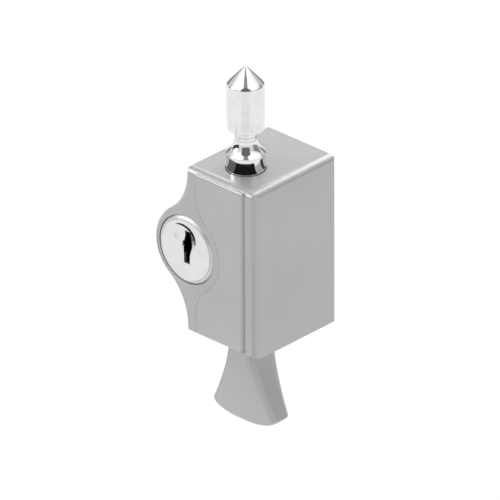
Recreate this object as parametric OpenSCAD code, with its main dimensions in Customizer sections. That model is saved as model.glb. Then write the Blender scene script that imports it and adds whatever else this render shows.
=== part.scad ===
// Key-lockable bolt for a sliding door, fixed to the face of the door.
// X runs to the right, Y from the front to the door, Z up along the bolt.
// The origin is on the door face, behind the middle of the housing.

/* [Housing] */
// Width of the housing, side to side
housing_w = 23.5; // [22.8:0.1:26]
// Depth of the housing, from its front to the door
housing_d = 30; // [27:0.1:34]
// Height of the housing
housing_h = 47; // [46:0.1:56]
// Thickness of the side walls
side_wall = 2.2; // [1.8:0.1:2.6]
// Thickness of the top and bottom walls
end_wall = 2.4; // [2:0.1:3]
// Thickness of the front wall
front_wall = 2.5; // [2.2:0.1:3]
// Radius of the upright edge at the right front
front_edge_r = 2.8; // [1:0.1:3.4]
// Radius of the top edges
top_edge_r = 2.4; // [0.6:0.1:2.8]
// Radius of the bottom edge at the front
bottom_edge_r = 2; // [0.6:0.1:2.2]
// Radius of the upright edge at the right back
back_edge_r = 1; // [0.4:0.1:1.6]
// Radius of the front edge along the left side and the boss
left_edge_r = 1.6; // [0.6:0.1:1.8]

/* [Eye boss] */
// Distance from the bolt's axis to the key cylinder's axis
cylinder_offset = 11.35; // [11.3:0.05:13]
// How far the key cylinder's axis lies below the middle of the housing
cylinder_drop = 0.1; // [0:0.1:1]
// Radius of the boss round the key cylinder
boss_r = 11.3; // [11:0.1:12]
// Wall of the boss round the hollow behind the key cylinder
boss_wall = 2.4; // [2:0.1:2.6]

/* [Front cover] */
// Thickness of the front cover
cover_t = 0.8; // [0.6:0.1:1.4]
// Radius of the cover's top and bottom edges
cover_edge_r = 0.6; // [0.2:0.1:0.6]
// How far the cover stays inside the housing's right side
cover_inset = 3.4; // [2.8:0.1:5]
// How far the cover stays below the housing's top
cover_drop = 0.5; // [0.2:0.1:2]
// How far the cover stays above the housing's bottom
cover_lift = 1.3; // [0.2:0.1:2]
// Width of the rib that runs up the left front edge
rib_w = 3.8; // [2.8:0.1:4.4]
// Width of the boss's rim outside the boss radius, up to the cover
eye_rim = 0.2; // [0.1:0.1:0.8]
// Radius of the hollow curves that lead the eye into the rib
eye_blend_r = 9; // [6:0.5:13]
// Diameter of the pegs that hold the cover
peg_d = 3; // [2:0.1:4]
// Height of the pegs above and below the middle
peg_z = 15; // [11:0.5:17]

/* [Bolt] */
// Distance from the housing's front to the bolt's axis
bolt_set = 9.7; // [9:0.1:10]
// Diameter of the bolt's shaft
shaft_d = 10; // [9.6:0.1:10.2]
// Height of the shaft's collar above the housing
collar_h = 5.1; // [3:0.1:8]
// Height of the chamfer on the collar
collar_chamfer = 0.5; // [0.2:0.1:1]
// Diameter of the neck
neck_d = 5.7; // [4:0.1:7]
// Height above the housing at which the neck begins
neck_from = 8.9; // [8.2:0.1:10]
// Height above the housing at which the head begins
head_from = 11.3; // [10.6:0.1:13]
// Height of the lip along the head's lower edge at the front
lip_h = 2.1; // [1:0.1:4]
// How far the lip stands back from the head
lip_step = 0.2; // [0.1:0.05:0.5]
// Distance from the bolt's axis to where the lip begins
lip_from = 2.2; // [0.5:0.1:3]
// Diameter of the head
head_d = 9.7; // [8:0.1:10]
// Height above the housing at which the point begins
head_to = 23.5; // [20:0.1:26]
// Radius of the rounded end of the point
tip_r = 0.7; // [0.3:0.1:1.5]
// Travel of the bolt
throw = 20.5; // [16:0.1:20.8]
// Diameter of the rod below the shaft
rod_d = 5; // [4.4:0.1:5.4]
// Height of the shaft's shoulder above the middle of the housing
shoulder_z = 8; // [7.6:0.1:8.4]

/* [Finger pull] */
// Length of the finger pull below the housing
tail_len = 24; // [20:0.2:30]
// Gap between the finger pull and the housing
tail_gap = 0.3; // [0.2:0.1:1]
// Width of the finger pull at its top
tail_top_w = 7.5; // [6.2:0.1:9]
// Depth of the finger pull at its top
tail_top_d = 10.4; // [9.6:0.1:12]
// Greatest width of the finger pull
tail_foot_w = 21.3; // [14:0.1:24]
// Depth of the finger pull at its foot
tail_foot_d = 7.9; // [6:0.1:9]
// Distance of the finger pull's middle behind the bolt's axis
tail_back = 1.7; // [0.6:0.1:2.2]
// How far the foot leans to the front
tail_lean = 0.2; // [0:0.1:1.5]
// Diameter of the rod's end inside the finger pull
spigot_d = 4; // [3:0.1:4]
// Depth of the rod's end inside the finger pull
spigot_len = 9; // [7:0.5:12]
// Diameter of the pin through the rod's end
tail_pin_d = 2; // [1.5:0.1:2.2]

/* [Key cylinder] */
// Diameter of the cylinder's head
cylinder_head_d = 18.5; // [18:0.1:18.7]
// Thickness of the cylinder's head
cylinder_head_t = 3; // [2.6:0.1:4]
// Width of the cylinder's rim round the turning face
rim_w = 1; // [0.6:0.1:1.4]
// How far the cylinder stands out of the boss
cylinder_proud = 0.3; // [0:0.1:0.8]
// Diameter of the barrel
barrel_d = 12; // [11.6:0.1:12.2]
// Diameter of the plug
plug_d = 9.6; // [9.4:0.1:9.8]
// Thickness of the plug's face
face_t = 1.2; // [1:0.1:1.6]
// Width of the key slot
keyway_w = 2; // [1.4:0.1:2.2]
// Number of wafers
wafer_count = 5; // [3:1:5]
// Distance from one wafer to the next
wafer_pitch = 1.8; // [1.6:0.1:1.9]
// Thickness of a wafer
wafer_t = 1; // [0.8:0.1:1.1]

/* [Locking] */
// Thickness of the guide plate
guide_t = 1.5; // [1.2:0.1:1.6]
// Diameter of the guide pin
guide_pin_d = 4; // [3.6:0.1:4.2]
// Thickness of the cam
cam_t = 1.5; // [1.2:0.1:1.8]
// Radius at which the crank pin turns
crank_r = 4.6; // [4.4:0.1:4.7]
// Diameter of the crank pin
crank_pin_d = 2.4; // [2:0.1:2.4]
// Thickness of the locking slide
slide_t = 2.3; // [1.8:0.1:2.6]
// Diameter of the rivet that guides the slide
rivet_d = 2; // [1.6:0.1:2]

/* [Spring] */
// Diameter of the spring's wire
wire_d = 0.8; // [0.6:0.05:0.9]
// Outer diameter of the spring
spring_d = 9.2; // [8.4:0.1:9.4]
// Number of the spring's turns
spring_turns = 7; // [4:1:8]
// Thickness of the washer below the spring
spring_washer_t = 0.6; // [0.4:0.1:1]

/* [Fixing] */
// Thickness of the fixing plate
fixing_t = 2; // [1.6:0.1:3]
// Distance between the fixing holes
fixing_pitch = 28; // [20:1:32]
// Diameter of the fixing holes
fixing_hole_d = 4.2; // [3:0.1:5]
// Diameter of the countersinks
fixing_sink_d = 8; // [7:0.1:10]
// Diameter of the retaining screw
retaining_d = 3; // [2.5:0.1:3.5]

/* [Clearances] */
// Gap round a piece that is pressed or fixed in place
seat_gap = 0.02; // [0.01:0.01:0.04]
// Gap round a piece that slides or turns in a bearing
run_gap = 0.05; // [0.03:0.01:0.08]
// Gap beside a piece that moves freely
free_gap = 0.3; // [0.2:0.05:0.35]

/* [Hidden] */
$fn = 64;
EPS = 0.01;

// Colours
paint = [0.70, 0.71, 0.71];
chrome = [0.88, 0.88, 0.90];
steel = [0.60, 0.61, 0.63];
brass = [0.75, 0.62, 0.35];

// Housing
half_w = housing_w / 2;
top_z = housing_h / 2;
inner_w = half_w - side_wall;
inner_top = top_z - end_wall;
inner_front = housing_d - front_wall;
fit_gap = 0.2;

// Key cylinder and its boss
cyl_x = -cylinder_offset;
cyl_z = -cylinder_drop;
barrel_r = barrel_d / 2;
plug_r = plug_d / 2;
pocket_r = boss_r - boss_wall;
// The boss runs into hollow curves where its outline slopes three across to four up
meet_cos = 0.6;
meet_sin = 0.8;
boss_blend_r = (boss_r * meet_cos - (half_w - cylinder_offset)) / (1 - meet_cos);
head_seat_gap = 0.12;
face_y = -housing_d - cylinder_proud;
face_r = cylinder_head_d / 2 - rim_w;
lug_w = 2;
lug_h = 0.8;
lug_len = 4;

// Bolt
bolt_y = bolt_set - housing_d;
shaft_r = shaft_d / 2;
rod_r = rod_d / 2;
neck_r = neck_d / 2;
head_r = head_d / 2;
tip_step = 0.2;
tip_from = head_to + 2 * tip_step;
tail_top_z = -top_z - tail_gap;
guide_pin_z = shoulder_z + guide_pin_d / 2 + 1.2;

// Guide plate, behind the shaft
guide_front_y = bolt_y + shaft_r + 2 * free_gap;
guide_back_y = guide_front_y + guide_t;
guide_screw_z = 15;
guide_screw_inset = 1.8;
guide_post_w = inner_w - shaft_r - free_gap;
guide_post_h = 6;
guide_screw_r = 0.9;
slot_r = guide_pin_d / 2 + run_gap;

// Cam and locking slide, behind the guide plate
cam_front_y = guide_back_y + fit_gap;
cam_back_y = cam_front_y + cam_t;
slide_front_y = cam_back_y + free_gap;
slide_back_y = slide_front_y + slide_t;
crank_rest = [cyl_x - crank_r * sin(45), cyl_z + crank_r * cos(45)];
slide_stroke = 2 * crank_r * sin(45);
crank_top_z = cyl_z + crank_r + crank_pin_d / 2;
slide_low_z = crank_rest[1] - 1;
slide_shelf_z = crank_top_z + 1.2;
slide_high_z = guide_pin_z - guide_pin_d / 2 - fit_gap;
nose_x = -guide_pin_d / 2 - 2 * free_gap;
crank_slack = 0.14;
fork_half = crank_pin_d / 2 + run_gap + crank_slack;
prong_w = 1.4;
rivet_x = nose_x - 1.2 - rivet_d / 2;
rivet_z = slide_low_z + 1.1 + rivet_d / 2;
rail_t = 1.1;

// Barrel clip, in front of the guide plate
clip_t = 1;
shelf_y = guide_front_y - 1.6 - clip_t;
clip_groove = 0.6;

// Flat outline of a rectangle with its four corners rounded: low left, low right, top right, top left
module rounded_plate(low, high, radii) {
    difference() {
        translate(low) square(high - low);
        corner_off([low[0], low[1]], [1, 1], radii[0]);
        corner_off([high[0], low[1]], [-1, 1], radii[1]);
        corner_off([high[0], high[1]], [-1, -1], radii[2]);
        corner_off([low[0], high[1]], [1, -1], radii[3]);
    }
}

// What rounding takes away at one corner; way points from the corner into the plate
module corner_off(corner, way, r) {
    if (r > 0)
        translate(corner) difference() {
            translate([way[0] > 0 ? -1 : -r, way[1] > 0 ? -1 : -r]) square(r + 1);
            translate([way[0] * r, way[1] * r]) circle(r);
        }
}

// A flat outline in X and Z, made solid from a given place towards the door
module front_to_back(from_y, depth) {
    translate([0, from_y + depth, 0]) rotate([90, 0, 0]) linear_extrude(depth) children();
}

// A flat outline in Y and Z, made solid along X
module side_to_side(from_x, width) {
    translate([from_x, 0, 0]) rotate([90, 0, 90]) linear_extrude(width) children();
}

// A round bar along Y
module bar_y(x, z, from_y, to_y, r) {
    translate([x, to_y, z]) rotate([90, 0, 0]) cylinder(h = to_y - from_y, r = r);
}

// From the key cylinder's axis to the middle of the hollow curve that leads a swelling into an upright edge
function hollow_middle(r, edge_x, blend_r, way) =
    let (dx = edge_x + way * blend_r - cyl_x)
    [dx, sqrt(pow(r + blend_r, 2) - pow(dx, 2))];

// The round swelling about the key cylinder, led into an upright edge by two hollow curves
module swelling(r, edge_x, blend_r, way) {
    middle = hollow_middle(r, edge_x, blend_r, way);
    touch = middle * r / (r + blend_r);
    translate([cyl_x, cyl_z]) circle(r);
    difference() {
        polygon([
            [edge_x, cyl_z + middle[1]], [cyl_x + touch[0], cyl_z + touch[1]], [cyl_x, cyl_z],
            [cyl_x + touch[0], cyl_z - touch[1]], [edge_x, cyl_z - middle[1]]
        ]);
        for (s = [-1, 1])
            translate([cyl_x + middle[0], cyl_z + s * middle[1]]) circle(blend_r);
    }
}

// The housing's outline seen from the front
module housing_front() {
    rounded_plate([-half_w, -top_z], [half_w, top_z], [bottom_edge_r / 2, 0, top_edge_r, left_edge_r]);
    swelling(boss_r, -half_w, boss_blend_r, -1);
}

// Section of what rounding takes off the left front edge, with the edge at the origin
module edge_section() {
    fullness = 1.02;
    difference() {
        translate([-left_edge_r, -left_edge_r]) square(left_edge_r + 1);
        translate([-left_edge_r, -left_edge_r]) circle(left_edge_r * fullness);
    }
}

// The same along an edge that bends about an axis along Y, from a direction on, up (way 1) or down (way -1);
// side is 1 for a bulge and -1 for a hollow
module bent_edge_off(x, z, r, side, from, way, angle) {
    translate([x, -housing_d, z]) rotate([90, 0, 0])
        multmatrix([[from[0], -way * from[1], 0, 0], [from[1], way * from[0], 0, 0], [0, 0, 1, 0]])
            rotate_extrude(angle = angle) translate([r, 0]) scale([side, 1]) edge_section();
}

// What rounding takes off the front edge of the left side and the boss; the piece of each hollow stops short of
// the boss, and the piece of the boss runs on past there
module left_edge_off() {
    hollow_x = -half_w - boss_blend_r;
    hollow_dz = (boss_r + boss_blend_r) * meet_sin;
    meet_angle = acos(meet_cos);
    past = 3;
    short = 1.5;
    boss_turn = meet_angle + past;
    translate([0, 0, cyl_z]) {
        bent_edge_off(cyl_x, 0, boss_r, 1, [-cos(boss_turn), sin(boss_turn)], 1, 2 * boss_turn);
        for (s = [0, 1]) mirror([0, 0, s]) {
            bent_edge_off(hollow_x, hollow_dz, boss_blend_r, -1, [1, 0], -1, meet_angle - short);
            translate([-half_w, -housing_d, hollow_dz]) linear_extrude(housing_h) rotate(180) edge_section();
        }
    }
}

module housing_block() {
    reach = cylinder_offset + boss_r + 1;
    difference() {
        intersection() {
            front_to_back(-housing_d, housing_d) housing_front();
            side_to_side(-reach, reach + half_w)
                rounded_plate([-housing_d, -top_z], [0, top_z], [bottom_edge_r, 0, back_edge_r, top_edge_r]);
            translate([0, 0, -top_z]) linear_extrude(housing_h)
                rounded_plate([-reach, -housing_d], [half_w, 0], [0, front_edge_r, back_edge_r, 0]);
        }
        left_edge_off();
    }
}

// Hollow of the housing, open to the door
module housing_hollow() {
    front_to_back(-inner_front, inner_front + EPS)
        translate([-inner_w, -inner_top]) square([2 * inner_w, 2 * inner_top]);
    bar_y(cyl_x, cyl_z, shelf_y, EPS, pocket_r);
}

// Places of the four screws of the guide plate
function guide_screw_places() =
    [for (sx = [-1, 1], sz = [-1, 1]) [sx * (inner_w - guide_screw_inset), sz * guide_screw_z]];

// Posts on the side walls that carry the guide plate
module guide_posts() {
    for (sx = [-1, 1], sz = [-1, 1])
        translate([sx * (inner_w - guide_post_w / 2 + EPS), -(inner_front + EPS), sz * guide_screw_z])
            translate([-guide_post_w / 2, 0, -guide_post_h / 2])
                cube([guide_post_w, guide_front_y + inner_front + EPS, guide_post_h]);
}

hook_rib_set = 3;
hook_rib_y = -fixing_t - hook_rib_set;
hook_rib_d = 2;
hook_rib_h = 1.2;
tongue_t = 1.2;

// Rib inside the top on which the fixing plate's tongue hooks
module hook_rib() {
    translate([-inner_w - EPS, hook_rib_y, inner_top - fit_gap - tongue_t - fit_gap - hook_rib_h])
        cube([2 * inner_w + 2 * EPS, hook_rib_d, hook_rib_h]);
}

bush_wall = 1.2;
bush_lip = 0.8;
bush_below = 1.3;
peg_x = 4.5;
peg_len = 2;
retaining_set = 3;
retaining_x = inner_w - retaining_set;
retaining_y = -fixing_t - retaining_set;
retaining_head_r = retaining_d * 0.9;

module housing() {
    color(paint)
    difference() {
        union() {
            difference() {
                housing_block();
                housing_hollow();
            }
            guide_posts();
            hook_rib();
        }
        bar_y(cyl_x, cyl_z, -housing_d - 1, shelf_y + EPS, barrel_r + seat_gap);
        bar_y(cyl_x, cyl_z, -housing_d - 1, face_y + cylinder_head_t, cylinder_head_d / 2 + head_seat_gap);
        barrel_lug(seat_gap);
        translate([0, bolt_y, 0]) {
            cylinder(h = top_z + 1, r = shaft_r + fit_gap);
            translate([0, 0, inner_top - 1])
                cylinder(h = end_wall + 1 - bush_lip, r = shaft_r + bush_wall + seat_gap);
            translate([0, 0, -top_z - 1]) cylinder(h = end_wall + 2, r = rod_r + run_gap);
        }
        for (p = guide_screw_places())
            bar_y(p[0], p[1], guide_front_y - guide_screw_len, guide_front_y + 1, guide_screw_r + seat_gap);
        for (s = [-1, 1])
            bar_y(peg_x, s * peg_z, -housing_d - 1, -housing_d + peg_len + fit_gap, peg_d / 2 + seat_gap);
        translate([retaining_x, retaining_y, -top_z - EPS]) {
            cylinder(h = end_wall + 1, r = retaining_d / 2 + fit_gap);
            cylinder(h = retaining_head_r, r1 = retaining_head_r + fit_gap, r2 = fit_gap);
        }
    }
}

// Lug under the barrel that stops it from turning
module barrel_lug(gap) {
    lug_from = face_y + cylinder_head_t;
    translate([cyl_x - lug_w / 2 - gap, lug_from - gap, cyl_z - barrel_r - lug_h - gap])
        cube([lug_w + 2 * gap, lug_len + 2 * gap, lug_h + barrel_r / 2]);
}

// Flat cover on the front, cut round the eye boss
module front_cover() {
    rib_edge = -half_w + rib_w;
    color(paint) {
        intersection() {
            front_to_back(-housing_d - cover_t, cover_t)
                difference() {
                    rounded_plate([rib_edge, -top_z + cover_lift], [half_w - cover_inset, top_z - cover_drop],
                        [0, 0, cover_edge_r, cover_edge_r]);
                    swelling(boss_r + eye_rim, rib_edge, eye_blend_r, 1);
                }
            side_to_side(-half_w, housing_w)
                rounded_plate([-housing_d - cover_t, -top_z + cover_lift], [-housing_d, top_z - cover_drop],
                    [cover_edge_r, 0, 0, cover_edge_r]);
        }
        for (s = [-1, 1])
            bar_y(peg_x, s * peg_z, -housing_d - EPS, -housing_d + peg_len, peg_d / 2);
    }
}

lug_block_w = 4.8;
lug_block_d = 5.4;
lug_block_h = 4.5;
tongue_w = 12;
tongue_d = 3.4;

// Plate that is screwed to the door, with a tongue at the top and a tapped lug at the bottom
module fixing_plate() {
    color(steel)
    difference() {
        union() {
            front_to_back(-fixing_t, fixing_t) {
                translate([-inner_w + fit_gap, -inner_top + fit_gap])
                    square([2 * (inner_w - fit_gap), 2 * (inner_top - fit_gap)]);
                translate([cyl_x, cyl_z]) circle(pocket_r - fit_gap);
            }
            translate([-tongue_w / 2, -fixing_t - tongue_d, inner_top - fit_gap - tongue_t])
                cube([tongue_w, tongue_d + EPS, tongue_t]);
            translate([retaining_x - lug_block_w / 2, -fixing_t - lug_block_d, -inner_top + fit_gap])
                cube([lug_block_w, lug_block_d + EPS, lug_block_h]);
        }
        for (s = [-1, 1]) translate([0, 0, s * fixing_pitch / 2]) {
            bar_y(0, 0, -fixing_t - 1, 1, fixing_hole_d / 2);
            translate([0, -fixing_t - EPS, 0]) rotate([-90, 0, 0])
                cylinder(h = (fixing_sink_d - fixing_hole_d) / 2 * 0.8,
                         r1 = fixing_sink_d / 2, r2 = fixing_hole_d / 2);
        }
        translate([retaining_x, retaining_y, -inner_top - 1])
            cylinder(h = lug_block_h + 2, r = retaining_d / 2 + seat_gap);
    }
}

// Countersunk screw from below into the fixing plate's lug
module retaining_screw() {
    shank = end_wall + fit_gap + lug_block_h - 0.5;
    slot_w = 0.7;
    color(steel)
    translate([retaining_x, retaining_y, -top_z])
    difference() {
        union() {
            cylinder(h = retaining_head_r - retaining_d / 2, r1 = retaining_head_r, r2 = retaining_d / 2);
            cylinder(h = shank, r = retaining_d / 2);
        }
        translate([-retaining_head_r, -slot_w / 2, -EPS]) cube([2 * retaining_head_r, slot_w, slot_w]);
    }
}

// Bearing of the shaft in the top wall
module guide_bush() {
    color(brass)
    translate([0, bolt_y, inner_top - bush_below])
    difference() {
        cylinder(h = end_wall - bush_lip + bush_below, r = shaft_r + bush_wall);
        translate([0, 0, -1]) cylinder(h = housing_h, r = shaft_r + run_gap);
    }
}

guide_screw_len = 6;
guide_head_r = 1.7;
guide_head_t = 1.2;
guide_half_h = 18.5;
barrel_room = 0.5;

// Plate with the slot for the guide pin and two rails for the slide
module guide_plate() {
    rail_depth = slide_back_y - guide_back_y;
    slot_low = guide_pin_z - throw;
    rail_from = slot_r + fit_gap;
    long_rail = 3.6;
    short_rail = 2;
    color(steel)
    difference() {
        union() {
            front_to_back(guide_front_y, guide_t)
                translate([-inner_w + fit_gap, -guide_half_h])
                    square([2 * (inner_w - fit_gap), 2 * guide_half_h]);
            for (s = [-1, 1])
                translate([s > 0 ? rail_from : -rail_from - short_rail, guide_back_y - EPS,
                           slide_low_z - run_gap - rail_t])
                    cube([s > 0 ? long_rail : short_rail, rail_depth + EPS, rail_t]);
        }
        bar_y(cyl_x, cyl_z, guide_front_y - 1, guide_back_y + 1, barrel_r + barrel_room);
        front_to_back(guide_front_y - 1, guide_t + 2) {
            translate([-slot_r, slot_low]) square([2 * slot_r, throw]);
            translate([0, slot_low]) circle(slot_r);
            translate([0, guide_pin_z]) circle(slot_r);
        }
        for (p = guide_screw_places())
            bar_y(p[0], p[1], guide_front_y - 1, guide_back_y + 1, guide_screw_r + run_gap);
        bar_y(rivet_x, rivet_z, guide_front_y - 1, guide_back_y + 1, rivet_d / 2 + seat_gap);
    }
}

module guide_plate_screws() {
    slot_w = 0.5;
    color(steel)
    for (p = guide_screw_places())
        difference() {
            union() {
                bar_y(p[0], p[1], guide_front_y - guide_screw_len + 0.5, guide_back_y + EPS, guide_screw_r);
                bar_y(p[0], p[1], guide_back_y, guide_back_y + guide_head_t, guide_head_r);
            }
            translate([p[0] - guide_head_r, guide_back_y + guide_head_t - slot_w, p[1] - slot_w / 2])
                cube([2 * guide_head_r, slot_w + EPS, slot_w]);
        }
}

// Rivet in the guide plate on which the slide runs
module slide_rivet() {
    head_t = 1;
    color(steel) {
        bar_y(rivet_x, rivet_z, guide_front_y, slide_back_y + run_gap + EPS, rivet_d / 2);
        bar_y(rivet_x, rivet_z, slide_back_y + run_gap, slide_back_y + run_gap + head_t, rivet_d / 2 + 0.8);
    }
}

// Spring: points of the wire's middle line, and the rings round it
wire_sides = 6;
rings_per_turn = 8;
spring_low = -inner_top + spring_washer_t + wire_d / 2;
spring_high = shoulder_z - wire_d / 2;
spring_mid_r = (spring_d - wire_d) / 2;
spring_rise = (spring_high - spring_low) / spring_turns;
spring_rings = spring_turns * rings_per_turn;
spring_slope = atan(spring_rise / (2 * PI * spring_mid_r));

function spring_point(i) =
    let (a = 360 * i / rings_per_turn)
    [spring_mid_r * cos(a), spring_mid_r * sin(a), spring_low + spring_rise * i / rings_per_turn];

// One corner of the wire's ring i: out along the spring's radius and along the wire's second cross axis
function spring_corner(i, k) =
    let (a = 360 * i / rings_per_turn, b = 360 * k / wire_sides, r = wire_d / 2)
    spring_point(i) + r * cos(b) * [cos(a), sin(a), 0]
        + r * sin(b) * [sin(a) * sin(spring_slope), -cos(a) * sin(spring_slope), cos(spring_slope)];

// Least distance between points of the wire that are half a turn or more apart, less the wire
spring_self_gap = min([for (i = [0 : spring_rings], j = [i + rings_per_turn / 2 : 1 : spring_rings])
    norm(spring_point(i) - spring_point(j))]) - wire_d;
echo(spring_least_gap_mm = spring_self_gap);

module throw_spring() {
    points = [for (i = [0 : spring_rings], k = [0 : wire_sides - 1]) spring_corner(i, k)];
    sides = [for (i = [0 : spring_rings - 1], k = [0 : wire_sides - 1], half = [0, 1])
        let (a = i * wire_sides + k, b = i * wire_sides + (k + 1) % wire_sides)
        half == 0 ? [a, b, b + wire_sides] : [a, b + wire_sides, a + wire_sides]];
    last = spring_rings * wire_sides;
    ends = [for (k = [1 : wire_sides - 2], half = [0, 1])
        half == 0 ? [0, k + 1, k] : [last, last + k, last + k + 1]];
    color(steel) translate([0, bolt_y, 0]) polyhedron(points, concat(sides, ends));
}

module spring_washer() {
    color(steel)
    translate([0, bolt_y, -inner_top])
    difference() {
        cylinder(h = spring_washer_t, r = spring_d / 2);
        translate([0, 0, -1]) cylinder(h = spring_washer_t + 2, r = rod_r + fit_gap);
    }
}

// Fixed part of the key cylinder
module cylinder_body() {
    color(chrome)
    difference() {
        union() {
            translate([cyl_x, face_y, cyl_z]) rotate([-90, 0, 0]) rotate_extrude()
                polygon([
                    [0, 0], [cylinder_head_d / 2 - rim_w * 0.7, 0], [cylinder_head_d / 2, rim_w * 0.5],
                    [cylinder_head_d / 2, cylinder_head_t], [barrel_r, cylinder_head_t],
                    [barrel_r, guide_back_y - face_y], [0, guide_back_y - face_y]
                ]);
            barrel_lug(0);
        }
        bar_y(cyl_x, cyl_z, face_y - 1, guide_back_y + 1, plug_r + run_gap);
        bar_y(cyl_x, cyl_z, face_y - 1, face_y + face_t + run_gap, face_r + run_gap);
        difference() {
            bar_y(cyl_x, cyl_z, shelf_y, shelf_y + clip_t + run_gap, barrel_r + 1);
            bar_y(cyl_x, cyl_z, shelf_y - 1, shelf_y + clip_t + 1, barrel_r - clip_groove);
        }
    }
}

// Open clip in the barrel's groove, behind the housing's boss
module barrel_clip() {
    clip_r = pocket_r - fit_gap;
    color(steel)
    front_to_back(shelf_y, clip_t)
        difference() {
            translate([cyl_x, cyl_z]) circle(clip_r);
            translate([cyl_x, cyl_z]) circle(barrel_r - clip_groove + seat_gap);
            translate([cyl_x, cyl_z])
                polygon([[0, 0], [clip_r, -clip_r * 1.6], [clip_r * 2, 0], [clip_r, clip_r * 1.6]]);
        }
}

// Bolt: outline of the turned part, from the rod's end to the point
flare_steps = 6;
function flare_points() =
    let (
        rise = neck_from - collar_h,
        out = shaft_r - collar_chamfer - neck_r,
        r = (pow(rise, 2) + pow(out, 2)) / (2 * out),
        sweep = asin(rise / r)
    )
    [for (i = [0 : flare_steps])
        let (a = sweep * (1 - i / flare_steps))
        [neck_r + r * (1 - cos(a)), top_z + neck_from - r * sin(a)]];

function tip_points() =
    [for (i = [0 : 3])
        let (a = 45 * (1 - i / 3))
        [tip_r * sin(a), top_z + tip_from + head_r - tip_r * sqrt(2) + tip_r * cos(a)]];

module bolt() {
    spigot_low = tail_top_z - spigot_len;
    color(chrome)
    translate([0, bolt_y, 0])
    difference() {
        rotate_extrude()
            polygon(concat(
                [[0, spigot_low], [spigot_d / 2, spigot_low], [spigot_d / 2, tail_top_z],
                    [rod_r, tail_top_z], [rod_r, shoulder_z], [shaft_r, shoulder_z],
                    [shaft_r, top_z + collar_h - collar_chamfer]],
                flare_points(),
                [[neck_r, top_z + head_from], [head_r, top_z + head_from], [head_r, top_z + head_to],
                    [head_r - tip_step, top_z + tip_from]],
                tip_points()
            ));
        difference() {
            translate([-head_d, -head_d, top_z + head_from - EPS]) cube([2 * head_d, head_d - lip_from, lip_h]);
            cylinder(h = top_z + head_to, r = head_r - lip_step);
        }
        translate([0, -shaft_r - 1, guide_pin_z]) rotate([-90, 0, 0])
            cylinder(h = shaft_d + 2, r = guide_pin_d / 2 + seat_gap);
        translate([0, -rod_r, tail_pin_z]) rotate([-90, 0, 0])
            cylinder(h = rod_d, r = tail_pin_d / 2 + seat_gap);
    }
}

// Cross pin of the bolt, which runs in the guide plate's slot
module guide_pin() {
    color(steel)
    bar_y(0, guide_pin_z, bolt_y - shaft_r + 0.6, slide_back_y - fit_gap, guide_pin_d / 2);
}

tail_pin_z = tail_top_z - spigot_len / 2;
tail_side_count = 28;
tail_flank_steps = 10;
tail_foot_steps = 8;
tail_foot_h = 2.8;
tail_bow = 1.5;

// Height, half width, half depth and middle of the finger pull's cross section i
function tail_share(i) = i <= tail_flank_steps ? i / tail_flank_steps : 1;
function tail_turn(i) = i <= tail_flank_steps ? 0 : 88 * (i - tail_flank_steps) / tail_foot_steps;
function tail_height(i) =
    tail_top_z - (tail_len - tail_gap - tail_foot_h) * tail_share(i) - tail_foot_h * sin(tail_turn(i));
function tail_half_w(i) =
    (tail_top_w + (tail_foot_w - tail_top_w) * pow(tail_share(i), tail_bow)) / 2 * cos(tail_turn(i));
function tail_half_d(i) =
    (tail_top_d + (tail_foot_d - tail_top_d) * tail_share(i)) / 2 * pow(cos(tail_turn(i)), 0.25);
function tail_middle(i) = bolt_y + tail_back - tail_lean * tail_share(i);

// Point k of a cross section: a rectangle with well rounded corners
function soft(c) = sign(c) * pow(abs(c), 0.42);
function tail_point(i, k) =
    let (a = 360 * (k + 0.5) / tail_side_count)
    [tail_half_w(i) * soft(cos(a)), tail_middle(i) + tail_half_d(i) * soft(sin(a)), tail_height(i)];

// Finger pull in the shape of a fish's tail
module tail() {
    rows = tail_flank_steps + tail_foot_steps;
    points = [for (i = [0 : rows], k = [0 : tail_side_count - 1]) tail_point(i, k)];
    sides = [for (i = [0 : rows - 1], k = [0 : tail_side_count - 1], half = [0, 1])
        let (a = i * tail_side_count + k, b = i * tail_side_count + (k + 1) % tail_side_count)
        half == 0 ? [a, b + tail_side_count, b] : [a, a + tail_side_count, b + tail_side_count]];
    last = rows * tail_side_count;
    ends = [for (k = [1 : tail_side_count - 2], half = [0, 1])
        half == 0 ? [0, k, k + 1] : [last, last + k + 1, last + k]];
    color(paint)
    difference() {
        polyhedron(points, concat(sides, ends));
        translate([0, bolt_y, tail_top_z - spigot_len - fit_gap])
            cylinder(h = spigot_len + fit_gap + 1, r = spigot_d / 2 + seat_gap);
        bar_y(0, tail_pin_z, bolt_y - rod_r, 0, tail_pin_d / 2 + seat_gap);
    }
}

// Pin from the back of the finger pull through the rod's end
module tail_pin() {
    color(steel)
    bar_y(0, tail_pin_z, bolt_y - spigot_d / 2, bolt_y + tail_back + tail_top_d / 2 - 0.8, tail_pin_d / 2);
}

// Key slot and wafer slots
keyway_shift = 0.4;
keyway_low = -3.6;
keyway_high = 4.4;
keyway_mouth_high = 5.3;
keyway_bulge = 0.8;
keyway_bulge_h = 1.4;
keyway_bulge_z = 1.5;
wafer_w = 4.2;
wafer_h = 8.4;
wafer_first = face_t + 1.5;
dimple_r = 3.9;
dimple_depth = 0.5;
dimple_at = [-0.3, 3.2];
tenon_w = 4;
cam_screw_r = 1.2;
cam_screw_len = 5;
wafer_window_w = 3;
wafer_window_h = 5.6;
wafer_cuts = [0, 0.6, 0.3, 0.9, 0.3];

function wafer_y(i) = face_y + wafer_first + wafer_pitch * i;

// Key slot's outline, with the ward groove on both sides
module keyway_outline(high) {
    translate([keyway_shift - keyway_w / 2, keyway_low]) square([keyway_w, high - keyway_low]);
    translate([keyway_shift - keyway_w / 2 - keyway_bulge, keyway_bulge_z - keyway_bulge_h / 2])
        square([keyway_w + 1.6 * keyway_bulge, keyway_bulge_h]);
}

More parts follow.
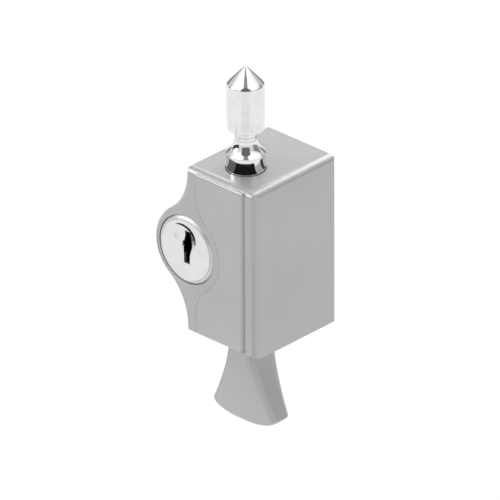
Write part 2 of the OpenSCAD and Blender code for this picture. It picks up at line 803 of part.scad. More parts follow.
// Turning part of the key cylinder, with its broad face
module cylinder_plug() {
    dimple_ball = (pow(dimple_r, 2) + pow(dimple_depth, 2)) / (2 * dimple_depth);
    keyway_depth = wafer_first + wafer_pitch * wafer_count;
    color(chrome)
    translate([cyl_x, 0, cyl_z])
    difference() {
        union() {
            bar_y(0, 0, face_y, face_y + face_t, face_r);
            bar_y(0, 0, face_y + EPS, cam_front_y - run_gap, plug_r);
            translate([-tenon_w / 2, cam_front_y - run_gap - EPS, -tenon_w / 2])
                cube([tenon_w, cam_t + EPS, tenon_w]);
        }
        front_to_back(face_y - 1, face_t + 1 + EPS) keyway_outline(keyway_mouth_high);
        front_to_back(face_y, keyway_depth) keyway_outline(keyway_high);
        translate([dimple_at[0], face_y - dimple_ball + dimple_depth, dimple_at[1]]) sphere(dimple_ball);
        for (i = [0 : wafer_count - 1])
            translate([-wafer_w / 2 - run_gap, wafer_y(i) - run_gap, -plug_r - 1])
                cube([wafer_w + 2 * run_gap, wafer_t + 2 * run_gap, plug_d + 2]);
        bar_y(0, 0, cam_back_y - cam_screw_len - fit_gap, cam_back_y + 1, cam_screw_r + seat_gap);
    }
}

// Wafers, drawn in as with the key in the slot
module wafer_tumblers() {
    color(brass)
    for (i = [0 : wafer_count - 1])
        translate([cyl_x, 0, cyl_z])
            front_to_back(wafer_y(i), wafer_t)
                difference() {
                    translate([-wafer_w / 2, -wafer_h / 2]) square([wafer_w, wafer_h]);
                    translate([keyway_shift - wafer_window_w / 2, -wafer_window_h / 2 - wafer_cuts[i]])
                        square([wafer_window_w, wafer_window_h]);
                }
}

cam_hub_r = 3.4;
cam_eye = 0.9;
washer_t = 0.5;
cam_screw_head_r = 1.9;
cam_screw_head_t = 1.1;

// Crank on the plug's rear end
module cam() {
    color(steel)
    difference() {
        union() {
            front_to_back(cam_front_y, cam_t) {
                translate([cyl_x, cyl_z]) circle(cam_hub_r);
                translate([cyl_x, cyl_z]) rotate(135)
                    translate([0, -crank_pin_d / 2 - cam_eye]) square([crank_r, crank_pin_d + 2 * cam_eye]);
                translate(crank_rest) circle(crank_pin_d / 2 + cam_eye);
            }
            bar_y(crank_rest[0], crank_rest[1], cam_back_y - EPS, slide_back_y, crank_pin_d / 2);
        }
        translate([cyl_x - tenon_w / 2 - run_gap, cam_front_y - 1, cyl_z - tenon_w / 2 - run_gap])
            cube([tenon_w + 2 * run_gap, cam_t + 2, tenon_w + 2 * run_gap]);
    }
}

module cam_washer() {
    color(steel)
    difference() {
        bar_y(cyl_x, cyl_z, cam_back_y, cam_back_y + washer_t, cam_screw_head_r);
        bar_y(cyl_x, cyl_z, cam_back_y - 1, cam_back_y + 1, cam_screw_r + run_gap);
    }
}

module cam_screw() {
    head_y = cam_back_y + washer_t;
    slot_w = 0.6;
    color(steel)
    difference() {
        union() {
            bar_y(cyl_x, cyl_z, cam_back_y - cam_screw_len, head_y + EPS, cam_screw_r);
            bar_y(cyl_x, cyl_z, head_y, head_y + cam_screw_head_t, cam_screw_head_r);
        }
        translate([cyl_x - cam_screw_head_r, head_y + cam_screw_head_t - slot_w, cyl_z - slot_w / 2])
            cube([2 * cam_screw_head_r, slot_w + EPS, slot_w]);
    }
}

// Slide that the crank pushes under the guide pin
module locking_slide() {
    left_x = crank_rest[0] - fork_half - prong_w;
    step_x = -inner_w + free_gap;
    notch_top = crank_top_z + run_gap + 0.1;
    corner = 2;
    slot_half = rivet_d / 2 + run_gap;
    color(steel)
    front_to_back(slide_front_y, slide_t)
        difference() {
            polygon([
                [left_x, slide_low_z], [nose_x, slide_low_z], [nose_x, slide_high_z], [step_x, slide_high_z],
                [step_x, slide_shelf_z], [left_x + corner, slide_shelf_z], [left_x, slide_shelf_z - corner]
            ]);
            translate([crank_rest[0] - fork_half, slide_low_z - 1])
                square([2 * fork_half, notch_top - slide_low_z + 1]);
            translate([rivet_x - slide_stroke, rivet_z - slot_half]) square([slide_stroke, 2 * slot_half]);
            translate([rivet_x - slide_stroke, rivet_z]) circle(slot_half);
            translate([rivet_x, rivet_z]) circle(slot_half);
        }
}

housing();
front_cover();
fixing_plate();
retaining_screw();
guide_bush();
guide_plate();
guide_plate_screws();
slide_rivet();
throw_spring();
spring_washer();
cylinder_body();
barrel_clip();
bolt();
guide_pin();
tail();
tail_pin();
cylinder_plug();
wafer_tumblers();
cam();
cam_washer();
cam_screw();
locking_slide();
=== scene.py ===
import math

import bmesh
import bpy
from mathutils import Matrix, Vector

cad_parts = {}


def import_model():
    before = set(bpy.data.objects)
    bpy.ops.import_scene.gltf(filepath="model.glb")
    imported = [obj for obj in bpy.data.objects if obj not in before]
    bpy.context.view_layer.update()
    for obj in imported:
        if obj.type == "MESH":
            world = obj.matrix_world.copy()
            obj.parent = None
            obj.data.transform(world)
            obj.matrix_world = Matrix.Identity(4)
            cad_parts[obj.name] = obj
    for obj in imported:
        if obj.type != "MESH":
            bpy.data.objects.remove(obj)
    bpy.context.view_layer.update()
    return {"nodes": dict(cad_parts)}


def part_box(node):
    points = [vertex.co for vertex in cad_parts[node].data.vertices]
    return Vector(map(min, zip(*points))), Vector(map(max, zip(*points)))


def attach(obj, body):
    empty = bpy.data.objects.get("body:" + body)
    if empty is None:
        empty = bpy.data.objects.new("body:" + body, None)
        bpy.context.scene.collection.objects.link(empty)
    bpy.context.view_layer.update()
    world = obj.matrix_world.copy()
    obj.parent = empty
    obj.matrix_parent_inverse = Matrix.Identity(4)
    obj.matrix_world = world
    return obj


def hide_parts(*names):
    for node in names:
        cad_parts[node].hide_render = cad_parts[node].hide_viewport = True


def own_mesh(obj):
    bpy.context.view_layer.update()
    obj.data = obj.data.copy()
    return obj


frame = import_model()
nodes = frame["nodes"]

MM = 0.001

# Where the main axes of the part lie, in metres
BOLT_Y = -20.3 * MM
CYLINDER_X = -11.35 * MM
CYLINDER_Z = -0.1 * MM
TOP_Z = 23.5 * MM


def new_object(name, data):
    made = bpy.data.objects.new(name, data)
    bpy.context.scene.collection.objects.link(made)
    return made


def direction(azimuth, elevation):
    """A way out from the part; the azimuth is counted from the front, anticlockwise seen from above."""
    return Vector((math.sin(azimuth) * math.cos(elevation),
                   -math.cos(azimuth) * math.cos(elevation),
                   math.sin(elevation)))


# Camera: a long lens at the photograph's angle, so that upright edges stay parallel

AZIMUTH = math.radians(43.4)
ELEVATION = math.radians(28.1)
ROLL = math.radians(0.23)
DISTANCE = 4.0
CLIP_END = 50
PIXELS_PER_MM = 4.0
IMAGE_SIZE = 500
SENSOR = 36.0
# The middle of the housing, and the pixel where it is seen
MIDDLE = Vector((0, -15 * MM, 0))
MIDDLE_PIXEL = (260.8, 243.3)


def add_camera():
    right = Vector((math.cos(AZIMUTH), math.sin(AZIMUTH), 0))
    toward = direction(AZIMUTH, ELEVATION)
    up = toward.cross(right)
    aside = (IMAGE_SIZE / 2 - MIDDLE_PIXEL[0]) / PIXELS_PER_MM * MM
    above = (MIDDLE_PIXEL[1] - IMAGE_SIZE / 2) / PIXELS_PER_MM * MM
    place = MIDDLE + right * aside + up * above + toward * DISTANCE
    cam_right = right * math.cos(ROLL) - up * math.sin(ROLL)
    cam_up = up * math.cos(ROLL) + right * math.sin(ROLL)
    data = bpy.data.cameras.new("camera")
    data.sensor_width = SENSOR
    data.lens = PIXELS_PER_MM * DISTANCE / MM * SENSOR / IMAGE_SIZE
    data.clip_end = CLIP_END
    camera = new_object("camera", data)
    turn = Matrix((cam_right, cam_up, toward)).transposed().to_4x4()
    camera.matrix_world = Matrix.Translation(place) @ turn
    bpy.context.scene.camera = camera


add_camera()


# Nodes, for materials and modifiers alike

def fill(tree, socket, value):
    """Links a socket to another, or gives it a plain value."""
    if isinstance(value, bpy.types.NodeSocket):
        tree.links.new(value, socket)
    else:
        socket.default_value = value


def add(tree, kind, links=None, **settings):
    """A node; links fills its sockets, from other sockets or plain values."""
    made = tree.nodes.new(kind)
    for name, value in settings.items():
        setattr(made, name, value)
    for socket, value in (links or {}).items():
        fill(tree, made.inputs[socket], value)
    return made


def part_of(tree, vector, axis):
    return add(tree, "ShaderNodeSeparateXYZ", {"Vector": vector}).outputs[axis]


def math_of(tree, operation, *values):
    return add(tree, "ShaderNodeMath", dict(enumerate(values)), operation=operation).outputs["Value"]


def vector_math(tree, operation, *values):
    return add(tree, "ShaderNodeVectorMath", dict(enumerate(values)), operation=operation)


def ranged(tree, value, start, stop, low=0.0, high=1.0):
    """Carries a value from between start and stop to between low and high."""
    made = add(tree, "ShaderNodeMapRange",
               {"Value": value, "From Min": start, "From Max": stop, "To Min": low, "To Max": high})
    return made.outputs["Result"]


def under(tree, value, limit):
    """1 where a length is under a limit, with a narrow soft edge."""
    edge = 0.06 * MM
    return ranged(tree, value, limit + edge, limit - edge)


# Materials

# Where a noise mostly lies
NOISE_LOW = 0.3
NOISE_HIGH = 0.7


def new_material(name):
    mat = bpy.data.materials.new(name)
    mat.use_nodes = True
    return mat, mat.node_tree, mat.node_tree.nodes["Principled BSDF"]


def grain(tree, place, size, detail=2.0):
    """A noise whose lumps are about size metres across."""
    noise = add(tree, "ShaderNodeTexNoise", {"Vector": place, "Scale": 1 / size, "Detail": detail})
    return noise.outputs["Fac"]


def cells(tree, place, size):
    """A random value for each cell of about size metres."""
    colour = add(tree, "ShaderNodeTexVoronoi", {"Vector": place, "Scale": 1 / size}).outputs["Color"]
    return add(tree, "ShaderNodeSeparateColor", {"Color": colour}).outputs[0]


def spread(tree, noise, low=0.0, high=1.0):
    """Turns a noise into a value between low and high."""
    return ranged(tree, noise, NOISE_LOW, NOISE_HIGH, low, high)


def blend(tree, factor, first, second):
    """Mixes two colours, each a socket or three plain values."""
    mix = add(tree, "ShaderNodeMix", {"Factor": factor}, data_type="RGBA")
    for socket, colour in ((mix.inputs[6], first), (mix.inputs[7], second)):
        fill(tree, socket, colour if isinstance(colour, bpy.types.NodeSocket) else (*colour, 1))
    return mix.outputs[2]


def bump(tree, shader, height, depth, strength):
    """Raises the surface by depth metres where height is 1."""
    node = add(tree, "ShaderNodeBump", {"Height": height, "Distance": depth, "Strength": strength})
    tree.links.new(node.outputs["Normal"], shader.inputs["Normal"])


def place_of(tree):
    return add(tree, "ShaderNodeTexCoord").outputs["Object"]


def satin_paint():
    """Silver-grey satin enamel over a casting: fine flake, a faint orange peel, slow drifts of shade."""
    mat, tree, shader = new_material("satin_paint")
    place = place_of(tree)
    drift = spread(tree, grain(tree, place, 14 * MM))
    shade = blend(tree, drift, (0.395, 0.397, 0.402), (0.425, 0.427, 0.432))
    flecked = blend(tree, cells(tree, place, 0.12 * MM), (0.40, 0.402, 0.407), (0.45, 0.452, 0.457))
    fleck_share = 0.15
    tree.links.new(blend(tree, fleck_share, shade, flecked), shader.inputs["Base Color"])
    shader.inputs["Metallic"].default_value = 0.38
    tree.links.new(spread(tree, grain(tree, place, 0.6 * MM), 0.29, 0.35), shader.inputs["Roughness"])
    peel = grain(tree, place, 0.45 * MM, 3.0)
    bump(tree, shader, peel, 0.002 * MM, 0.3)
    return mat


# The three turned grooves round the bolt's neck, as painted shade, not cut in the shape: the height of the
# middle one, how far apart they are, how far from the middle one they reach, and where on a cosine wave each
# one starts to show
GROOVE_Z = 32.9 * MM
GROOVE_PITCH = 0.95 * MM
GROOVE_BAND = 1.35 * MM
GROOVE_START = 0.2


def neck_groove_shade(tree, place):
    """1 along the painted shade of the grooves round the bolt's neck."""
    above = math_of(tree, "SUBTRACT", part_of(tree, place, "Z"), GROOVE_Z)
    phase = math_of(tree, "MULTIPLY", above, 2 * math.pi / GROOVE_PITCH)
    line = ranged(tree, math_of(tree, "COSINE", phase), GROOVE_START, 1.0)
    return math_of(tree, "MULTIPLY", line, under(tree, math_of(tree, "ABSOLUTE", above), GROOVE_BAND))


def turned_chrome():
    """Bright chrome over a turned bolt: faint rings from the lathe, a light haze, and painted shade for its
    neck's grooves.
    """
    mat, tree, shader = new_material("chrome_turned")
    place = place_of(tree)
    shader.inputs["Metallic"].default_value = 1.0
    haze = spread(tree, grain(tree, place, 3 * MM))
    bright = blend(tree, haze, (0.75, 0.75, 0.77), (0.815, 0.815, 0.835))
    # Painted shade: the neck's grooves as dark lines
    bright = blend(tree, neck_groove_shade(tree, place), bright, (0.54, 0.54, 0.56))
    tree.links.new(bright, shader.inputs["Base Color"])
    tree.links.new(spread(tree, grain(tree, place, 1.2 * MM), 0.045, 0.09), shader.inputs["Roughness"])
    stretch = (0.02, 0.02, 1.0)
    rings = add(tree, "ShaderNodeMapping", {"Vector": place, "Scale": stretch}).outputs["Vector"]
    bump(tree, shader, grain(tree, rings, 0.3 * MM), 0.004 * MM, 0.6)
    return mat


# The key slot's painted shadows, in metres from the middle of the plug's face: its flared mouth, and the
# crescent-shaped gap beside its dust shutter, which is what one disc leaves of another
MOUTH_AT = (0.45 * MM, 0, 1.4 * MM)
MOUTH_HALF = 1.65 * MM
MOUTH_TAPER = 0.25
MOUTH_REACH = 3.8 * MM
GAP_AT = (-1.0 * MM, 0, 2.6 * MM)
GAP_R = 4.45 * MM
SHUTTER_AT = (-2.12 * MM, 0, 0.49 * MM)
SHUTTER_R = 5.93 * MM
# How far behind the face the painted shade in the slot starts, and where it is all black
SLOT_DIM = 0.75 * MM
SLOT_BLACK = 1.1 * MM
# The Y part of the surface's normal where the dull rim ends, and where the polished face begins
RIM_NORMAL = -0.75
FACE_NORMAL = -0.97


def keyway_shadow(tree, place, flat):
    """1 where black shade is painted on the plug: inside the slot, in its mouth and in the gap beside the
    shutter.
    """
    face_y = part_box("cylinder_plug")[0][1]
    inside = ranged(tree, part_of(tree, place, "Y"), face_y + SLOT_DIM, face_y + SLOT_BLACK)
    from_mouth = vector_math(tree, "SUBTRACT", flat, MOUTH_AT).outputs["Vector"]
    aside = vector_math(tree, "ABSOLUTE", from_mouth).outputs["Vector"]
    tapered = vector_math(tree, "DOT_PRODUCT", aside, (1, 0, MOUTH_TAPER)).outputs["Value"]
    within = under(tree, part_of(tree, aside, "Z"), MOUTH_REACH)
    mouth = math_of(tree, "MULTIPLY", under(tree, tapered, MOUTH_HALF), within)
    from_gap = vector_math(tree, "DISTANCE", flat, GAP_AT).outputs["Value"]
    from_shutter = vector_math(tree, "DISTANCE", flat, SHUTTER_AT).outputs["Value"]
    clear = math_of(tree, "SUBTRACT", 1.0, under(tree, from_shutter, SHUTTER_R))
    gap = math_of(tree, "MULTIPLY", under(tree, from_gap, GAP_R), clear)
    return math_of(tree, "MAXIMUM", math_of(tree, "MAXIMUM", inside, mouth), gap)


def face_chrome(name, keyway):
    """Satin-bright chrome of the key cylinder: fine marks run round its axis, and its rim is duller; on the
    plug, shade is painted black in and beside the key slot.
    """
    mat, tree, shader = new_material(name)
    place = place_of(tree)
    shader.inputs["Metallic"].default_value = 1.0
    from_axis = vector_math(tree, "SUBTRACT", place, (CYLINDER_X, 0, CYLINDER_Z)).outputs["Vector"]
    flat = vector_math(tree, "MULTIPLY", from_axis, (1, 0, 1)).outputs["Vector"]
    haze = spread(tree, grain(tree, place, 4 * MM))
    bright = blend(tree, haze, (0.735, 0.735, 0.735), (0.775, 0.775, 0.775))
    normal = add(tree, "ShaderNodeTexCoord").outputs["Normal"]
    facing = ranged(tree, part_of(tree, normal, "Y"), RIM_NORMAL, FACE_NORMAL)
    bright = blend(tree, facing, (0.6, 0.6, 0.6), bright)
    if keyway:
        # Painted shade: black in the key slot, in its mouth and in the crescent gap beside the shutter
        bright = blend(tree, keyway_shadow(tree, place, flat), bright, (0.006, 0.006, 0.006))
    tree.links.new(bright, shader.inputs["Base Color"])
    polish = spread(tree, grain(tree, place, 0.8 * MM), 0.14, 0.22)
    rim_rough = 0.5
    tree.links.new(ranged(tree, facing, 0.0, 1.0, rim_rough, polish), shader.inputs["Roughness"])
    radius = vector_math(tree, "LENGTH", flat).outputs["Value"]
    marks = add(tree, "ShaderNodeCombineXYZ", {"X": radius}).outputs["Vector"]
    bump(tree, shader, grain(tree, marks, 0.18 * MM), 0.003 * MM, 0.5)
    return mat


def plated_steel():
    """Zinc-plated steel: a spangled, faintly blue grey."""
    mat, tree, shader = new_material("zinc_steel")
    place = place_of(tree)
    shader.inputs["Metallic"].default_value = 1.0
    spangle = blend(tree, cells(tree, place, 1.4 * MM), (0.50, 0.51, 0.53), (0.62, 0.63, 0.65))
    tree.links.new(spangle, shader.inputs["Base Color"])
    tree.links.new(spread(tree, grain(tree, place, 0.7 * MM), 0.26, 0.40), shader.inputs["Roughness"])
    bump(tree, shader, grain(tree, place, 0.3 * MM), 0.006 * MM, 0.5)
    return mat


def plain_brass(name, dull, bright):
    """Machined brass, duller in patches."""
    mat, tree, shader = new_material(name)
    place = place_of(tree)
    shader.inputs["Metallic"].default_value = 1.0
    patches = blend(tree, spread(tree, grain(tree, place, 2 * MM)), dull, bright)
    tree.links.new(patches, shader.inputs["Base Color"])
    tree.links.new(spread(tree, grain(tree, place, 0.5 * MM), 0.22, 0.36), shader.inputs["Roughness"])
    bump(tree, shader, grain(tree, place, 0.25 * MM), 0.005 * MM, 0.5)
    return mat


PAINT = satin_paint()
TURNED = turned_chrome()
FACE = face_chrome("chrome_face", False)
PLUG = face_chrome("chrome_plug", True)
STEEL = plated_steel()
BRASS = plain_brass("brass", (0.50, 0.36, 0.14), (0.68, 0.52, 0.24))
# The wafer tumblers are near-black brass
NEAR_BLACK_BRASS = plain_brass("brass_near_black", (0.012, 0.011, 0.010), (0.035, 0.030, 0.022))

# What isn't named here is plated steel
FINISH = {
    "housing": PAINT, "front_cover": PAINT, "tail": PAINT,
    "bolt": TURNED, "cylinder_body": FACE, "cylinder_plug": PLUG,
    "guide_bush": BRASS, "wafer_tumblers": NEAR_BLACK_BRASS,
}

for name, obj in nodes.items():
    obj.data.materials.clear()
    obj.data.materials.append(FINISH.get(name, STEEL))


# Smooth shading over curved faces, crisp where two faces meet at an angle; edges broken by the finish

SMOOTH_ANGLE = math.radians(28)
BEVEL_ANGLE = math.radians(40)
BEVEL_STEPS = 4
WELD_GAP = 0.001 * MM
# How wide the broken edges are; the cover's only where they stand in front of the housing
BEVELLED = {
    "bolt": 0.2 * MM, "cylinder_body": 0.12 * MM, "cylinder_plug": 0.1 * MM,
    "housing": 0.12 * MM, "fixing_plate": 0.2 * MM, "front_cover": 0.72 * MM,
}
PROUD_BAND = 0.05 * MM


def new_group(name):
    """A group of nodes for a modifier, with its way in and its way out."""
    group = bpy.data.node_groups.new(name, "GeometryNodeTree")
    group.interface.new_socket("Geometry", in_out="INPUT", socket_type="NodeSocketGeometry")
    group.interface.new_socket("Geometry", in_out="OUTPUT", socket_type="NodeSocketGeometry")
    start = group.nodes.new("NodeGroupInput").outputs[0]
    end = group.nodes.new("NodeGroupOutput").inputs[0]
    return group, start, end


def compare(group, first, operation, second):
    return add(group, "FunctionNodeCompare", {"A": first, "B": second}, operation=operation).outputs["Result"]


def edge_angle(group):
    return add(group, "GeometryNodeInputMeshEdgeAngle").outputs["Unsigned Angle"]


def smooth_group():
    """Drops the stored normals, and shades all smooth but the sharp edges."""
    group, start, end = new_group("smooth_by_angle")
    plain = add(group, "GeometryNodeRemoveAttribute", {"Geometry": start, "Name": "custom_normal"})
    faces = add(group, "GeometryNodeSetShadeSmooth",
                {"Geometry": plain.outputs["Geometry"], "Shade Smooth": True}, domain="FACE")
    gentle = compare(group, edge_angle(group), "LESS_THAN", SMOOTH_ANGLE)
    edges = add(group, "GeometryNodeSetShadeSmooth",
                {"Geometry": faces.outputs["Geometry"], "Shade Smooth": gentle}, domain="EDGE")
    group.links.new(edges.outputs["Geometry"], end)
    return group


def proud_edges_group(limit):
    """Marks the sharp edges that stand further forward than limit metres, for a bevel."""
    group, start, end = new_group("proud_edges")
    place = add(group, "GeometryNodeInputPosition").outputs["Position"]
    forward = compare(group, part_of(group, place, "Y"), "LESS_THAN", limit)
    sharp = compare(group, edge_angle(group), "GREATER_THAN", BEVEL_ANGLE)
    both = add(group, "FunctionNodeBooleanMath", {0: forward, 1: sharp}, operation="AND").outputs["Boolean"]
    store = add(group, "GeometryNodeStoreNamedAttribute",
                {"Geometry": start, "Name": "bevel_weight_edge", "Value": both},
                data_type="FLOAT", domain="EDGE")
    group.links.new(store.outputs["Geometry"], end)
    return group


SMOOTH = smooth_group()


def smooth(obj):
    obj.modifiers.new("smooth", "NODES").node_group = SMOOTH
    weigh = obj.modifiers.new("weigh", "WEIGHTED_NORMAL")
    weigh.mode = "FACE_AREA"
    weigh.weight = 100
    weigh.keep_sharp = True


def bevel(obj, width):
    edge = obj.modifiers.new("edge", "BEVEL")
    edge.width = width
    edge.segments = BEVEL_STEPS
    edge.limit_method = "ANGLE"
    edge.angle_limit = BEVEL_ANGLE
    return edge


for name, obj in nodes.items():
    weld = obj.modifiers.new("weld", "WELD")
    weld.merge_threshold = WELD_GAP
    if name == "front_cover":
        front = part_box(name)[0][1]
        obj.modifiers.new("proud_edges", "NODES").node_group = proud_edges_group(front + PROUD_BAND)
        edge = bevel(obj, BEVELLED[name])
        edge.limit_method = "WEIGHT"
        edge.use_clamp_overlap = False
    elif name in BEVELLED:
        bevel(obj, BEVELLED[name])
    smooth(obj)


def skin_of(name, rings, material):
    """A closed piece through rings of points, which takes the place of a solid."""
    bm = bmesh.new()
    rows = [[bm.verts.new(point) for point in ring] for ring in rings]
    for before, after in zip(rows, rows[1:]):
        for k in range(len(before)):
            n = (k + 1) % len(before)
            bm.faces.new((before[k], after[k], after[n], before[n]))
    bm.faces.new(rows[0])
    bm.faces.new(list(reversed(rows[-1])))
    bmesh.ops.recalc_face_normals(bm, faces=bm.faces)
    mesh = bpy.data.meshes.new(name)
    bm.to_mesh(mesh)
    bm.free()
    mesh.materials.append(material)
    skin = new_object(name, mesh)
    smooth(skin)
    return skin


# The tail: the same fishtail loft as the solid, with finer faces. Its top and its foot are each a width
# and a depth.

TAIL_TOP_Z = -TOP_Z - 0.3 * MM
TAIL_LEN = 23.7 * MM
TAIL_FOOT_H = 2.8 * MM
TAIL_TOP = (7.5 * MM, 10.4 * MM)
TAIL_FOOT = (21.3 * MM, 7.9 * MM)
TAIL_BACK = 1.7 * MM
TAIL_LEAN = 0.2 * MM
TAIL_BOW = 1.5
TAIL_FLANK_ROWS = 40
TAIL_FOOT_ROWS = 14
TAIL_SIDES = 112
TAIL_FULLNESS = 0.42
TAIL_FOOT_FULLNESS = 0.25
TAIL_END_TURN = math.radians(88)


def soft(value):
    """Fills out a circle's sine or cosine towards a rounded rectangle's."""
    return math.copysign(abs(value) ** TAIL_FULLNESS, value)


def tail_row(share, turn):
    """One ring of the loft: share runs down the flanks, turn rolls round under the foot."""
    width = (TAIL_TOP[0] + (TAIL_FOOT[0] - TAIL_TOP[0]) * share ** TAIL_BOW) / 2 * math.cos(turn)
    depth = (TAIL_TOP[1] + (TAIL_FOOT[1] - TAIL_TOP[1]) * share) / 2 * math.cos(turn) ** TAIL_FOOT_FULLNESS
    middle = BOLT_Y + TAIL_BACK - TAIL_LEAN * share
    z = TAIL_TOP_Z - (TAIL_LEN - TAIL_FOOT_H) * share - TAIL_FOOT_H * math.sin(turn)
    angles = [2 * math.pi * (k + 0.5) / TAIL_SIDES for k in range(TAIL_SIDES)]
    return [(width * soft(math.cos(a)), middle + depth * soft(math.sin(a)), z) for a in angles]


def tail_skin():
    rings = [tail_row(i / TAIL_FLANK_ROWS, 0) for i in range(TAIL_FLANK_ROWS + 1)]
    rings += [tail_row(1, TAIL_END_TURN * i / TAIL_FOOT_ROWS) for i in range(1, TAIL_FOOT_ROWS + 1)]
    skin = skin_of("tail_skin", rings, PAINT)
    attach(skin, "bolt_body")
    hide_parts("tail")


tail_skin()


# The spring: the same coil as the solid, with a rounder wire, built at the solid's length; the real one is
# pressed together as the bolt is drawn down

SPRING_TURNS = 7
SPRING_STEPS = 36
WIRE_SIDES = 10
WIRE_R = 0.4 * MM
SPRING_D = 9.2 * MM
SPRING_MID_R = SPRING_D / 2 - WIRE_R


def spring_rings(low, high):
    """The rings of points round the wire, from one end of the coil to the other."""
    count = SPRING_TURNS * SPRING_STEPS
    rise = (high - low - 2 * WIRE_R) / count
    slope = math.atan(rise * SPRING_STEPS / (2 * math.pi * SPRING_MID_R))
    turns = [2 * math.pi * k / WIRE_SIDES for k in range(WIRE_SIDES)]
    rings = []
    for i in range(count + 1):
        a = 2 * math.pi * i / SPRING_STEPS
        out = Vector((math.cos(a), math.sin(a), 0))
        over = Vector((math.sin(a) * math.sin(slope), -math.cos(a) * math.sin(slope), math.cos(slope)))
        middle = Vector((0, BOLT_Y, low + WIRE_R + rise * i)) + out * SPRING_MID_R
        rings.append([middle + (out * math.cos(b) + over * math.sin(b)) * WIRE_R for b in turns])
    return rings


def spring_skin():
    low, high = (corner[2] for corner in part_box("throw_spring"))
    skin = skin_of("spring_skin", spring_rings(low, high), STEEL)
    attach(skin, "housing_body")
    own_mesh(skin)
    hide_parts("throw_spring")


spring_skin()


# Studio: a white floor, soft light from all round, softboxes that draw the edges, and cards that only show
# in reflections. Azimuths are in degrees from the camera's, anticlockwise seen from above.

FLOOR_Z = -85 * MM
FLOOR_SIZE = 8
FLOOR_LEVEL = 1.02
BOX_DISTANCE = 1.4
CARD_DISTANCE = 1.6
FAN_STEPS = 12
# The cards round the bolt's collar, just over the housing's top, and those on the floor
COLLAR = Vector((0, BOLT_Y, TOP_Z + 0.15 * MM))
COLLAR_NEAR = 5.3 * MM
COLLAR_DARK = 11.4 * MM
COLLAR_FAR = 14.5 * MM
FLOOR = Vector((0, BOLT_Y, FLOOR_Z + 1 * MM))
# How bright the sky is, by the height of the direction, from 0 at the horizon to 1 overhead
SKY = ((0.0, 0.85), (0.42, 0.72), (0.62, 1.28), (0.9, 1.28), (1.0, 0.5))


def glow(name, level):
    """A surface that gives off an even light, and is clear from behind."""
    mat, tree, shader = new_material(name)
    shader.inputs["Base Color"].default_value = (0, 0, 0, 1)
    shader.inputs["Specular IOR Level"].default_value = 0
    shader.inputs["Emission Color"].default_value = (1, 1, 1, 1)
    shader.inputs["Emission Strength"].default_value = level
    behind = add(tree, "ShaderNodeNewGeometry").outputs["Backfacing"]
    clear = add(tree, "ShaderNodeBsdfTransparent").outputs["BSDF"]
    either = add(tree, "ShaderNodeMixShader", {0: behind, 1: shader.outputs["BSDF"], 2: clear})
    tree.links.new(either.outputs["Shader"], tree.nodes["Material Output"].inputs["Surface"])
    return mat


def card(name, corners, level):
    """A flat card that only shows in reflections."""
    mesh = bpy.data.meshes.new(name)
    mesh.from_pydata(corners, [], [list(range(len(corners)))])
    mesh.materials.append(glow(name, level))
    made = new_object(name, mesh)
    made.visible_camera = False
    made.visible_diffuse = False
    made.visible_shadow = False
    made.visible_transmission = False


def way_to(azimuth, elevation):
    return direction(AZIMUTH + math.radians(azimuth), math.radians(elevation))


def sky_card(name, corners, level):
    """A card in the air; each corner is an azimuth and an elevation."""
    card(name, [way_to(*corner) * CARD_DISTANCE for corner in corners], level)


def fan(name, centre, left, right, near, far, level):
    """A level card in the shape of a fan, between two azimuths and two distances from its centre."""
    ways = [way_to(left + (right - left) * i / FAN_STEPS, 0) for i in range(FAN_STEPS + 1)]
    card(name, [centre + way * far for way in ways] + [centre + way * near for way in reversed(ways)], level)


def floor():
    bpy.ops.mesh.primitive_plane_add(size=FLOOR_SIZE, location=(0, 0, FLOOR_Z))
    plane = bpy.context.object
    plane.name = "floor"
    plane.data.materials.append(glow("floor", FLOOR_LEVEL))


def softbox(name, toward, along, size, radiance):
    """A soft box that faces the part from a direction, its long side along another."""
    data = bpy.data.lights.new(name, "AREA")
    data.shape = "RECTANGLE"
    data.size, data.size_y = size
    data.energy = radiance * math.pi * size[0] * size[1]
    light = new_object(name, data)
    away = Vector(toward).normalized()
    up = away.cross(Vector(along)).normalized()
    turn = Matrix((up.cross(away), up, away)).transposed().to_4x4()
    light.matrix_world = Matrix.Translation(away * BOX_DISTANCE) @ turn


def world():
    sky = bpy.data.worlds.new("studio")
    sky.use_nodes = True
    tree = sky.node_tree
    way = add(tree, "ShaderNodeTexCoord").outputs["Generated"]
    ramp = add(tree, "ShaderNodeValToRGB", {"Fac": part_of(tree, way, "Z")})
    stops = ramp.color_ramp.elements
    while len(stops) < len(SKY):
        stops.new(0.5)
    for stop, (height, level) in zip(stops, SKY):
        stop.position = height
        stop.color = (level, level, level, 1)
    tree.links.new(ramp.outputs["Color"], tree.nodes["Background"].inputs["Color"])
    bpy.context.scene.world = sky


floor()
world()

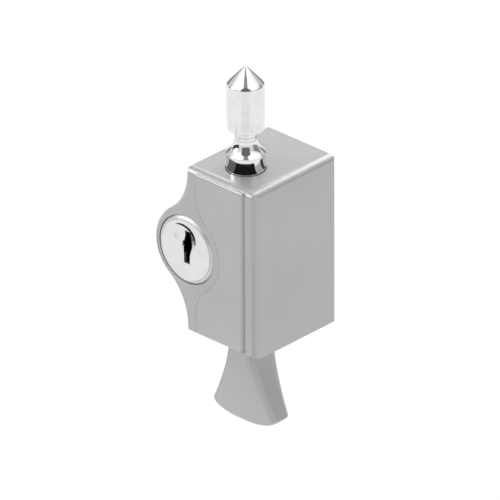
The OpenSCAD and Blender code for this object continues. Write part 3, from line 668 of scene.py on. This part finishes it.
# Softboxes behind, at the left and at the front left, for the bright lines along the edges
softbox("box_back", toward=(0.0, 0.641, 0.767), along=(1, 0, 0), size=(1.0, 0.4), radiance=3.6)
softbox("box_left", toward=(-0.606, 0.294, 0.739), along=(0, -0.93, 0.37), size=(0.5, 0.45), radiance=3.4)
softbox("box_front_left", toward=(-0.606, -0.68, 0.40), along=(0, -0.5, -0.86), size=(0.5, 0.45),
        radiance=6.6)

# Darker cards in the air: round the camera and over it, at the right, at the left and behind
sky_card("flag_camera", ((-30, 10), (-38, 42), (-34, 51), (34, 51), (38, 42), (30, 10)), 0.16)
sky_card("flag_cone", ((-18, 51), (-22, 69), (22, 69), (18, 51)), 0.33)
sky_card("flag_right", ((66, -3), (66, 27), (92, 27), (118, 27), (118, -3), (92, -3)), 0.3)
sky_card("flag_left", ((-118, -3), (-118, 14), (-92, 14), (-62, 14), (-62, -3), (-92, -3)), 0.05)
sky_card("flag_left_high", ((-136, 42), (-136, 57), (-106, 57), (-106, 42)), 0.1)
sky_card("flag_back", ((130, -2), (130, 14), (180, 14), (230, 14), (230, -2), (180, -2)), 0.3)

# What the bolt's collar mirrors: dark close to it, and white further out on the camera's side
fan("flag_collar_left", COLLAR, -88, -46, COLLAR_NEAR, COLLAR_DARK, 0.13)
fan("flag_collar_front", COLLAR, -46, 38, COLLAR_NEAR, COLLAR_DARK, 0.01)
fan("flag_collar_right", COLLAR, 70, 88, COLLAR_NEAR, COLLAR_DARK, 0.06)
fan("flag_collar_back", COLLAR, 140, 220, COLLAR_NEAR, COLLAR_FAR, 0.0)
fan("flag_collar_ring", COLLAR, -88, 88, COLLAR_DARK, COLLAR_FAR, 1.0)

# Darker cards on the floor: towards the camera, near and far, before the key cylinder, and at the left
fan("flag_floor", FLOOR, -20, 20, 90 * MM, 196 * MM, 0.5)
fan("flag_floor_head", FLOOR, -24, 24, 205 * MM, 280 * MM, 0.93)
fan("flag_floor_key", FLOOR, -66, -55, 120 * MM, 230 * MM, 0.4)
fan("flag_floor_left", FLOOR, -185, -100, 118 * MM, 204 * MM, 0.08)

bpy.context.scene.view_settings.view_transform = "Standard"
